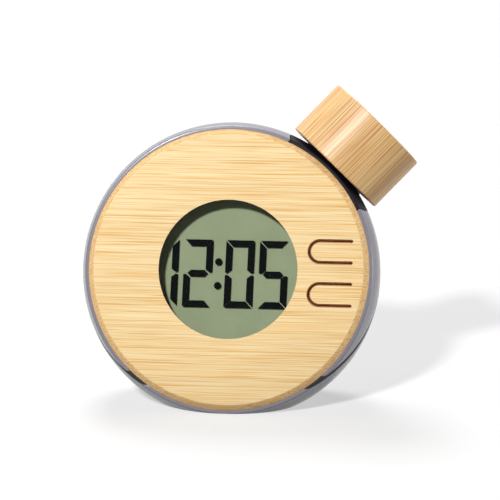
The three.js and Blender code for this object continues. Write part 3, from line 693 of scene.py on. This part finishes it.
@dataclass
class Case:
    """The two grey shells and the black filler neck that closes their corner."""

    rim_radius: float = PLACING.rim_radius
    widest_radius: float = half_width("front_shell")
    widest_depth: float = 8.0
    depth: float = 30.0
    squareness: float = 3.5
    wall: float = 2.0
    lip_wall: float = 0.45
    recess_radius: float = half_width("bamboo_face") + 0.03
    recess_reach: float = 5.0
    seat_inner: float = 35.8
    seat_outer: float = 38.9
    seat_front: float = -2.2
    seat_back: float = -4.0
    seat_wall: float = 0.75
    parting_height: float = -30.6
    parting_slope: float = math.atan(0.46)
    groove: float = 1.6
    bead_inset: float = 0.1
    rim_round: float = 0.55
    rim_steps: int = 5
    flank_steps: int = 8
    back_steps: int = 26
    steps: int = 192

    def radius_at(self, depth: float) -> float:
        """The outer radius in front of the widest ring."""
        swell = math.sin(min(max(depth / self.widest_depth, 0.0), 1.0) * math.pi / 2)
        return self.rim_radius + (self.widest_radius - self.rim_radius) * swell

    def across_seam(self) -> Vector:
        """The direction across the seam, towards the front shell."""
        return Vector((0, math.sin(self.parting_slope), math.cos(self.parting_slope)))

    def form(self, inset: float, front: float) -> bpy.types.Mesh:
        """The case's outer form, set in by a wall.

        Args:
            inset: How far the surface is set in.
            front: The height of its flat front.

        Returns:
            The closed solid, before the flat is cut.
        """
        widest, back = self.widest_radius - inset, self.depth - inset
        first = self.rim_round - front
        profile = [(0.0, front)]
        for i in range(self.rim_steps):
            turn = math.pi / 2 * i / self.rim_steps
            profile.append((
                self.radius_at(first) - inset - self.rim_round * (1 - math.sin(turn)),
                front - self.rim_round * (1 - math.cos(turn)),
            ))
        for i in range(self.flank_steps):
            depth = first + (self.widest_depth - first) * i / self.flank_steps
            profile.append((self.radius_at(depth) - inset, -depth))
        power = 2 / self.squareness
        for i in range(self.back_steps):
            swing = math.pi / 2 * i / self.back_steps
            depth = self.widest_depth + (back - self.widest_depth) * math.sin(swing) ** power
            profile.append((widest * math.cos(swing) ** power, -depth))
        profile.append((0.0, -back))
        return turned(profile, self.steps)

    def on_flat(self, mesh: bpy.types.Mesh, inset: float) -> bpy.types.Mesh:
        """Cuts a solid off at the flat that the clock stands on, or a wall above it."""
        point = Vector((0, -self.rim_radius, 0)) + UP_IN_CASE * inset
        return sliced(mesh, point, -UP_IN_CASE)

    def parted(self, mesh: bpy.types.Mesh, forward: bool) -> bpy.types.Mesh:
        """Keeps what lies in front of the seam, or behind it, half a groove away.

        Args:
            mesh: The solid, which is used up.
            forward: Whether the front part is kept.

        Returns:
            The closed part.
        """
        normal = self.across_seam()
        side = 1 if forward else -1
        point = Vector((0, self.parting_height, 0)) + normal * side * self.groove / 2
        return sliced(mesh, point, normal * -side)

    def interior(self) -> bpy.types.Mesh:
        """The room inside the walls, with the recess that holds the face.

        Returns:
            The closed solid that is cut from the case.
        """
        room = self.on_flat(self.form(self.wall, self.seat_back), self.wall)
        recess = rod(self.recess_radius, self.seat_back - OVERRUN, self.recess_reach, self.steps)
        return combined(room, self.on_flat(recess, self.lip_wall), Join.ADD)

    def front_shell(self, neck: "Neck") -> bpy.types.Mesh:
        """The front shell, with its seat for the face and its notch for the neck.

        Args:
            neck: The neck whose saddle the notch is for.

        Returns:
            The closed solid.
        """
        outside = self.parted(self.on_flat(self.form(0, 0), 0), True)
        shell = combined(outside, self.interior(), Join.CUT)
        shell = combined(shell, neck.saddle(neck.gap), Join.CUT)
        low, high = self.seat_back, self.seat_front
        seat = self.on_flat(rod(self.seat_outer, low, high, self.steps), self.seat_wall)
        hole = rod(self.seat_inner, low - OVERRUN, high + OVERRUN, self.steps)
        return combined(shell, combined(seat, hole, Join.CUT), Join.ADD)

    def rear_shell(self) -> bpy.types.Mesh:
        """The rear shell, which reaches round to the front below the seam."""
        outside = self.parted(self.on_flat(self.form(0, 0), 0), False)
        return combined(outside, self.interior(), Join.CUT)

    def seal(self) -> bpy.types.Mesh:
        """The black rubber bead that fills the seam to just below the surface.

        Returns:
            The closed solid.
        """
        normal = self.across_seam()
        bead = self.on_flat(self.form(self.bead_inset, 0), self.bead_inset)
        for side in (1, -1):
            point = Vector((0, self.parting_height, 0)) + normal * side * self.groove / 2
            bead = sliced(bead, point, normal * side)
        return combined(bead, self.interior(), Join.CUT)

    def build(self) -> None:
        """Builds both shells, the seal between them and the neck."""
        neck, case = Neck(), PLACING.case()
        for name, mesh, finish, node, slot in (
            ("front_case", self.front_shell(neck), CASE_ABS, "front_shell", "case_plastic"),
            ("rear_case", self.rear_shell(), CASE_ABS, "rear_shell", "case_plastic"),
            ("neck", neck.solid(self), BLACK_ABS, "filler_neck", "black_plastic"),
            ("seam_bead", self.seal(), BLACK_RUBBER, "shell_seal", "black_rubber"),
        ):
            place_piece(name, mesh, case, "case", [finish], stands_for=[node])


@dataclass
class Neck:
    """The filler neck: a saddle flush with the case, a threaded tube and the spout to the cell.

    Heights are measured from the case's axis along the neck.
    """

    half_width: float = 15.0
    half_depth: float = 15.3
    shift: float = -0.5
    middle_depth: float = 9.0
    squareness: float = 2.5
    gap: float = 0.25
    saddle_start: float = 20.0
    tool_size: float = 60.0
    landing: float = 40.6
    radius: float = 10.2
    bore: float = 8.0
    top: float = 50.8
    tube_start: float = 28.0
    floor: float = 41.4
    spout_radius: float = 3.6
    spout_bore: float = 2.5
    spout_depth: float = 18.0
    spout_end: float = 34.0
    thread_pitch: float = 3.0
    thread_start: float = 43.4
    thread_turns: float = 1.75
    thread_height: float = 1.1
    thread_base: float = 1.5
    thread_crest: float = 0.7
    thread_sink: float = 0.4
    thread_steps: int = 48
    steps: int = 96
    spout_steps: int = 48
    tool_steps: int = 64

    def saddle(self, grow: float) -> bpy.types.Mesh:
        """The saddle's outline pushed out along the neck, in the case frame.

        Args:
            grow: How far the outline is moved outwards.

        Returns:
            The closed solid, which reaches past the case's surface.
        """
        power = 2 / self.squareness

        def outline(x: float, y: float) -> Point:
            """Squares the circle up and shifts it to the middle of the case's side."""
            return (
                (self.half_width + grow) * math.copysign(abs(x) ** power, x) + self.shift,
                (self.half_depth + grow) * math.copysign(abs(y) ** power, y)
                + PLACING.neck_depth - self.middle_depth,
            )

        block = pushed(outline, self.steps, self.saddle_start, self.tool_size)
        return moved(block, PLACING.neck_in_case())

    def thread(self) -> bpy.types.Mesh:
        """The helical ridge, right-handed, in the neck frame.

        Returns:
            The closed solid, sunk a little into the tube.
        """
        root, crest = self.radius - self.thread_sink, self.radius + self.thread_height
        work = bmesh.new()
        corners = [
            (root, -self.thread_base / 2), (crest, -self.thread_crest / 2),
            (crest, self.thread_crest / 2), (root, self.thread_base / 2),
        ]
        face = work.faces.new([work.verts.new((r, 0, self.thread_start + h)) for r, h in corners])
        bmesh.ops.spin(
            work, geom=[face], cent=(0, 0, 0), axis=(0, 0, 1),
            dvec=(0, 0, self.thread_pitch / self.thread_steps),
            angle=2 * math.pi * self.thread_turns,
            steps=round(self.thread_steps * self.thread_turns),
            use_merge=False, use_duplicate=False,
        )
        bmesh.ops.remove_doubles(work, verts=work.verts, dist=FLUSH)
        return new_mesh(work)

    def solid(self, case: Case) -> bpy.types.Mesh:
        """The whole neck in the case frame.

        Args:
            case: The case whose wall the saddle takes up.

        Returns:
            The closed solid.
        """
        place = PLACING.neck_in_case()
        spout_place = place @ Matrix.Translation((0, PLACING.neck_depth - self.spout_depth, 0))
        above = rod(
            self.tool_size, self.landing, self.landing + self.tool_size, self.tool_steps, place,
        )
        tube = rod(self.radius, self.tube_start, self.top, self.steps, place)
        spout = rod(
            self.spout_radius, self.spout_end, self.landing - OVERRUN, self.spout_steps,
            spout_place,
        )
        bore = rod(self.bore, self.floor, self.top + OVERRUN, self.steps, place)
        spout_bore = rod(
            self.spout_bore, self.spout_end - OVERRUN, self.floor + OVERRUN, self.spout_steps,
            spout_place,
        )
        solid = case.on_flat(case.form(0, 0), 0)
        for tool, how in (
            (self.saddle(0), Join.KEEP), (above, Join.CUT), (tube, Join.ADD),
            (case.interior(), Join.CUT), (moved(self.thread(), place), Join.ADD),
            (spout, Join.ADD), (bore, Join.CUT), (spout_bore, Join.CUT),
        ):
            solid = combined(solid, tool, how)
        return solid


@dataclass
class Cap:
    """The bamboo cap with its threaded insert and washer."""

    bottom: float = 40.9
    height: float = 17.26
    radius: float = 15.66
    edge: float = 0.3
    edge_bulge: float = 0.4
    insert_radius: float = 13.0
    insert_end: float = 54.0
    steps: int = 160

    def build(self) -> None:
        """Turns the bamboo cap and dresses what is inside it."""
        top, soft = self.bottom + self.height, self.edge * self.edge_bulge
        outside = turned([
            (0.0, self.bottom), (self.radius - self.edge, self.bottom),
            (self.radius - soft, self.bottom + soft), (self.radius, self.bottom + self.edge),
            (self.radius, top - self.edge), (self.radius - soft, top - soft),
            (self.radius - self.edge, top), (0.0, top),
        ], self.steps)
        hole = rod(self.insert_radius, self.bottom - OVERRUN, self.insert_end)
        cap = combined(outside, hole, Join.CUT)
        place_piece("wooden_cap", cap, PLACING.neck(), "cap_body", [CAP_BAMBOO],
                    stands_for=["bamboo_cap"])
        dress_node("cap_insert", BLACK_ABS)
        dress_node("cap_washer", BLACK_RUBBER)


@dataclass
class Face:
    """The bevelled bamboo face, its window, and the two buttons cut into it."""

    radius: float = half_width("bamboo_face")
    back: float = -1.4
    bevel: float = 1.6
    arris: float = 0.1
    arris_run: float = 0.15
    window: float = 19.27
    button_spacing: float = 11.85
    buttons_middle: float = -0.48
    button_tip: float = 25.4
    button_root: float = 34.0
    root_gap: float = 0.3
    slot_radius: float = 3.0
    slot_width: float = 1.0
    tongue_back: float = 0.2
    pocket_margin: float = 0.4
    kerf_taper: float = 0.38
    root_undercut: float = 0.2
    rebate_radius: float = 20.65
    rebate_depth: float = 1.0
    cut_margin: float = 0.1
    wall_slope: float = 0.5
    bevel_slope: float = 0.9
    steps: int = 256
    rebate_steps: int = 128
    tongue_steps: int = 50
    slot_end_steps: int = 24

    def button_height(self, side: int) -> float:
        """The height of the upper button (1) or the lower one (-1) on the face."""
        return self.buttons_middle + side * self.button_spacing / 2

    def tongue(
        self, half_width: float, centre: float, low: float, high: float, taper: float,
        undercut: float,
    ) -> bpy.types.Mesh:
        """A tongue with a round end towards the window, and sides that lean like a laser's cut.

        Args:
            half_width: Half its width at the front of the face.
            centre: Its height on the face.
            low: The height of its back.
            high: The height of its front.
            taper: How much wider each side gets over the thickness of a button.
            undercut: How far the back of the square root stops short of its front.

        Returns:
            The closed mesh.
        """
        slope = taper / (self.bevel - self.tongue_back)
        narrow = half_width + slope * (low - self.bevel)

        def outline(x: float, y: float) -> Point:
            """Keeps the round half and draws the other out to a square root."""
            end = self.button_tip + x * narrow, centre + y * narrow
            return end if x < FLUSH else (self.button_root, centre + math.copysign(narrow, y))

        mesh = pushed(outline, self.tongue_steps, low, high)
        work = bmesh.new()
        work.from_mesh(mesh)
        bpy.data.meshes.remove(mesh)
        bmesh.ops.remove_doubles(work, verts=work.verts, dist=WELD)
        for vert in work.verts:
            if vert.co.z > (low + high) / 2:
                lean = Vector((min(vert.co.x - self.button_tip, 0), vert.co.y - centre))
                vert.co.xy += lean.normalized() * slope * (high - low)
            elif vert.co.x > self.button_root - undercut / 2 - WELD:
                vert.co.x -= undercut
        return new_mesh(work)

    def pocket(self) -> bpy.types.Mesh:
        """The room behind the buttons, which leaves them thin enough to bend.

        Returns:
            A block that reaches past the back of the face.
        """
        reach = self.slot_radius + self.slot_width / 2 + self.pocket_margin
        low_x, high_x = self.button_tip - reach, self.button_root + self.root_gap
        low, high = self.back - OVERRUN, self.tongue_back
        middle = ((low_x + high_x) / 2, self.buttons_middle, (low + high) / 2)
        size = (high_x - low_x, 2 * (self.button_spacing / 2 + reach), high - low, 1)
        work = bmesh.new()
        bmesh.ops.create_cube(
            work, size=1, matrix=Matrix.Translation(middle) @ Matrix.Diagonal(size),
        )
        return new_mesh(work)

    def disc(self) -> bpy.types.Mesh:
        """The face with its window, its gasket's rebate, the cuts and the pocket behind them.

        Returns:
            The closed solid.
        """
        back, front, edge = self.back, self.bevel, self.radius - self.bevel
        disc = turned([
            (self.window, back), (self.radius, back), (self.radius, 0.0),
            (edge + self.arris, front - self.arris), (edge - self.arris_run, front),
            (self.window, front),
        ], self.steps)
        rebate = rod(
            self.rebate_radius, back - OVERRUN, back + self.rebate_depth, self.rebate_steps,
        )
        disc = combined(disc, rebate, Join.CUT)
        disc = combined(disc, self.pocket(), Join.CUT)
        half_slot = self.slot_width / 2
        low, high = self.tongue_back - self.cut_margin, front + self.cut_margin
        for side in (1, -1):
            height = self.button_height(side)
            cut = self.tongue(
                self.slot_radius + half_slot, height, low, high, self.kerf_taper, 0.0,
            )
            disc = combined(disc, cut, Join.CUT)
            for offset in (self.slot_radius, -self.slot_radius):
                end = turned([
                    (0.0, low), (half_slot - self.kerf_taper, low), (half_slot, high), (0.0, high),
                ], self.slot_end_steps)
                spot = Matrix.Translation((self.button_root, height + offset, 0))
                disc = combined(disc, moved(end, spot), Join.CUT)
        return disc

    def finish_of(self, centre: Vector, normal: Vector) -> int:
        """Picks bamboo, bevel, laser-cut wood, or the window wall's char with its painted shade,
        for a face of the mesh.

        Args:
            centre: The middle of the mesh's face.
            normal: Its normal.

        Returns:
            The number of its finish.
        """
        across = math.hypot(centre.x, centre.y)
        if abs(normal.z) >= self.wall_slope:
            return 1 if 0 < normal.z < self.bevel_slope else 0
        if across < self.window + self.cut_margin:
            # The window's wall gets the char that is darkened as painted shade.
            return 3
        return 2 if across < self.radius - self.bevel else 1

    def build(self) -> None:
        """Builds the face and both buttons, and dresses the keys and switches under them."""
        case = PLACING.case()
        finishes = [FACE_BAMBOO, BEVEL_BAMBOO, BURNT_BAMBOO, CHARRED_AND_SHADED_BAMBOO]
        place_piece("face", self.disc(), case, "case", finishes, choose=self.finish_of,
                    stands_for=["bamboo_face"])
        for name, side in (("upper", 1), ("lower", -1)):
            tongue = self.tongue(
                self.slot_radius - self.slot_width / 2, self.button_height(side),
                self.tongue_back, self.bevel, -self.kerf_taper, self.root_undercut,
            )
            place_piece(f"{name}_push_button", tongue, case, f"{name}_button_body", finishes,
                        choose=self.finish_of, stands_for=[f"{name}_button"])
            dress_node(f"{name}_key", SILICONE)
            dress_node(f"{name}_switch_plunger", BLACK_ABS)
            dress_node(f"{name}_switch_body", STEEL)
        dress_node("face_adhesive_ring", FOAM_TAPE)


class Stroke(Enum):
    """The seven strokes of a figure, by their usual letters."""

    TOP = "a"
    UPPER_RIGHT = "b"
    LOWER_RIGHT = "c"
    BOTTOM = "d"
    LOWER_LEFT = "e"
    UPPER_LEFT = "f"
    MIDDLE = "g"


@dataclass
class Display:
    """The liquid crystal display behind the window."""

    height: float = 18.8
    width: float = 8.0
    stroke: float = 1.85
    mitre: float = 0.22
    slant: float = 0.022
    nose: float = 0.1
    cheek: float = 0.35
    centre_y: float = -1.1
    centres: tuple[float, ...] = (-18.3, -8.8, 2.8, 12.2)
    figures: tuple[str, ...] = ("bc", "abged", "abcdef", "afgcd")
    colon_x: float = -3.1
    colon_offset: float = 3.3
    colon_radius: float = 1.0
    colon_steps: int = 32
    front: float = -2.45
    thickness: float = 0.15

    def stroke_points(self, stroke: Stroke) -> list[Point]:
        """The corners of one stroke about the middle of its figure.

        Args:
            stroke: Which of the seven.

        Returns:
            The corners in order round the stroke.
        """
        w, h, s, m = self.width / 2, self.height / 2, self.stroke, self.mitre
        top = [(-w + m, h), (w - m, h), (w - s - m / 2, h - s), (-w + s + m / 2, h - s)]
        bar = [
            (-w + s / 2 + m, 0), (-w + s + m, s / 2), (w - s - m, s / 2),
            (w - s / 2 - m, 0), (w - s - m, -s / 2), (-w + s + m, -s / 2),
        ]
        side = [
            (w, h - m), (w, m + s * self.nose), (w - s * self.cheek, m), (w - s, s / 2 + m),
            (w - s, h - s - m),
        ]
        flips = {
            Stroke.TOP: (top, 1, 1), Stroke.BOTTOM: (top, 1, -1), Stroke.MIDDLE: (bar, 1, 1),
            Stroke.UPPER_RIGHT: (side, 1, 1), Stroke.LOWER_RIGHT: (side, 1, -1),
            Stroke.UPPER_LEFT: (side, -1, 1), Stroke.LOWER_LEFT: (side, -1, -1),
        }
        points, across, up = flips[stroke]
        return [(across * x, up * y) for x, y in points]

    def figures_mesh(self) -> bpy.types.Mesh:
        """All strokes that are dark, with the colon between hours and minutes.

        Returns:
            The closed strokes and dots.
        """
        work = bmesh.new()
        for letters, centre in zip(self.figures, self.centres):
            for letter in letters:
                corners = [
                    work.verts.new((centre + x + y * self.slant, self.centre_y + y, self.front))
                    for x, y in self.stroke_points(Stroke(letter))
                ]
                work.faces.new(corners)
        for side in (1, -1):
            up = side * self.colon_offset
            bmesh.ops.create_circle(
                work, cap_ends=True, radius=self.colon_radius, segments=self.colon_steps,
                matrix=Matrix.Translation((
                    self.colon_x + up * self.slant, self.centre_y + up, self.front,
                )),
            )
        grown = bmesh.ops.extrude_face_region(work, geom=list(work.faces))
        lower = [item for item in grown["geom"] if isinstance(item, bmesh.types.BMVert)]
        bmesh.ops.translate(work, verts=lower, vec=(0, 0, -self.thickness))
        return new_mesh(work)

    def build(self) -> None:
        """Builds the figures and dresses the glasses and what holds them."""
        place_piece("display_figures", self.figures_mesh(), PLACING.case(), "case", [DISPLAY_INK],
                    stands_for=["liquid_crystal_layer"])
        dress_node("display_front_glass", POLARISER)
        dress_node("display_rear_glass", REFLECTOR)
        dress_node("display_gasket", BLACK_RUBBER)
        dress_node("display_holder", BLACK_ABS)
        for name in ("upper", "lower"):
            dress_node(f"{name}_display_connector", SILICONE)


@dataclass
class Works:
    """The circuit board and the water cell inside the case."""

    screw_count: int = 4
    finishes: tuple[tuple[str, Finish], ...] = (
        ("circuit_board", SOLDER_MASK), ("clock_chip", BLACK_ABS),
        ("storage_capacitor", BLACK_PVC), ("quartz_crystal", STEEL),
        ("cell_cover", MILKY_PLASTIC), ("cell_seal", BLACK_RUBBER), ("water_cell", MILKY_PLASTIC),
        ("left_copper_electrode", COPPER), ("left_zinc_electrode", ZINC),
        ("right_copper_electrode", COPPER), ("right_zinc_electrode", ZINC),
        ("cell_link_strip", COPPER), ("positive_lead", RED_PVC), ("negative_lead", BLACK_PVC),
    )

    def build(self) -> None:
        """Dresses the board, its parts, the cell and its electrodes."""
        for number in range(1, self.screw_count + 1):
            dress_node(f"holder_screw_{number}", STEEL)
            dress_node(f"board_screw_{number}", STEEL)
        for node, finish in self.finishes:
            dress_node(node, finish)


# The studio


@dataclass(frozen=True)
class Lamp:
    """A round soft light: its angles off and about the face's normal, distance, size and watts."""

    name: str
    off_normal: float
    turn: float
    distance: float
    size: float
    power: float

    def hang(self) -> None:
        """Adds the light, aimed at the middle of the case."""
        tilt, turn = math.radians(self.off_normal), math.radians(self.turn)
        local = Vector((
            math.sin(tilt) * math.cos(turn), math.sin(tilt) * math.sin(turn), math.cos(tilt),
        ))
        direction = (PLACING.case().to_3x3() @ local).normalized()
        data = bpy.data.lights.new(self.name, "AREA")
        data.shape = "DISK"
        data.size = self.size
        data.energy = self.power
        lamp = bpy.data.objects.new(self.name, data)
        lamp.location = PLACING.case().to_translation() + direction * self.distance
        lamp.rotation_euler = direction.to_track_quat("Z", "Y").to_euler()
        bpy.context.scene.collection.objects.link(lamp)


@dataclass
class Studio:
    """White floor, white room, a key light at the upper left with rim lights, and the camera."""

    azimuth: float = math.radians(5.73)
    elevation: float = math.radians(14.5)
    distance: float = 0.741
    aim_right: float = 0.00598
    aim_up: float = 0.0054
    lens: float = 192.8
    sensor: float = 36.0
    floor_size: float = 8.0
    floor_glow: float = 0.52
    floor_white: float = 0.39
    floor_bounce: float = 0.16
    fill: float = 0.04
    lamps: tuple[Lamp, ...] = (
        Lamp("key", 30, 125, 2.5, 0.3, 61.0),
        Lamp("side", 80, 150, 1.0, 0.5, 1.0),
        Lamp("back", 108, 98, 2.0, 0.8, 29.0),
        Lamp("right", 88, 4, 1.0, 0.4, 4.6),
    )

    def camera(self) -> None:
        """Sets the camera by its angles from the middle of the case."""
        centre = PLACING.case().to_translation()
        towards = Vector((
            math.sin(self.azimuth) * math.cos(self.elevation),
            -math.cos(self.azimuth) * math.cos(self.elevation),
            math.sin(self.elevation),
        ))
        right = Vector((math.cos(self.azimuth), math.sin(self.azimuth), 0))
        up = towards.cross(right)
        eye = centre + towards * self.distance
        target = centre + right * self.aim_right + up * self.aim_up
        data = bpy.data.cameras.new("camera")
        data.sensor_width = self.sensor
        data.lens = self.lens
        data.clip_start = 0.01
        item = bpy.data.objects.new("camera", data)
        item.location = eye
        item.rotation_euler = (eye - target).to_track_quat("Z", "Y").to_euler()
        bpy.context.scene.collection.objects.link(item)
        bpy.context.scene.camera = item

    def sight(self, tree: bpy.types.NodeTree) -> bpy.types.NodeSocket:
        """Tells what is looked at from what only lights.

        Args:
            tree: The node tree of a material or the world.

        Returns:
            A socket that is 1 where the camera, a reflection or a view through glass looks.
        """
        path = add_node(tree, "LightPath")
        seen = add_node(tree, "Math", {
            0: path.outputs["Is Camera Ray"], 1: path.outputs["Is Glossy Ray"],
        }, operation="MAXIMUM")
        clear = add_node(tree, "Math", {
            0: seen.outputs[0], 1: path.outputs["Is Transmission Ray"],
        }, operation="MAXIMUM")
        return clear.outputs[0]

    def floor(self) -> None:
        """A plain white floor that keeps the clock's shadow."""
        work = bmesh.new()
        bmesh.ops.create_grid(work, x_segments=1, y_segments=1, size=self.floor_size / 2)
        mesh = bpy.data.meshes.new("floor")
        work.to_mesh(mesh)
        work.free()
        floor = bpy.data.objects.new("floor", mesh)
        bpy.context.scene.collection.objects.link(floor)
        paper = bpy.data.materials.new("white_paper")
        paper.use_nodes = True
        tree = paper.node_tree
        tree.nodes.remove(tree.nodes["Principled BSDF"])
        share = add_node(tree, "Math", {
            0: self.sight(tree), 1: self.floor_glow,
        }, operation="MULTIPLY")
        white = add_node(tree, "MapRange", {
            "Value": self.sight(tree), "To Min": self.floor_bounce, "To Max": self.floor_white,
        })
        matt = add_node(tree, "BsdfDiffuse", {"Color": white.outputs[0]})
        glow = add_node(tree, "Emission", {"Color": "#ffffff", "Strength": share.outputs[0]})
        both = add_node(tree, "AddShader", {0: matt.outputs[0], 1: glow.outputs[0]})
        tree.links.new(both.outputs[0], tree.nodes["Material Output"].inputs["Surface"])
        mesh.materials.append(paper)

    def lights(self) -> None:
        """The lamps, and a white room that gloss reflects and that faintly fills the shadows."""
        for lamp in self.lamps:
            lamp.hang()
        world = bpy.data.worlds.new("white_room")
        world.use_nodes = True
        tree = world.node_tree
        strength = add_node(tree, "MapRange", {
            "Value": self.sight(tree), "To Min": self.fill, "To Max": 1.0,
        })
        back = tree.nodes["Background"]
        back.inputs["Color"].default_value = linear("#ffffff")
        tree.links.new(strength.outputs[0], back.inputs["Strength"])
        bpy.context.scene.world = world

    def build(self) -> None:
        """Sets the floor, the lights and the camera."""
        self.floor()
        self.lights()
        self.camera()
        bpy.context.scene.view_settings.view_transform = "Standard"


def main() -> None:
    """Builds the clock's sub-assemblies in order, then the studio."""
    logging.basicConfig(level=logging.INFO, format="%(message)s")
    Case().build()
    Cap().build()
    Face().build()
    Display().build()
    Works().build()
    Studio().build()


if __name__ == "__main__":
    main()
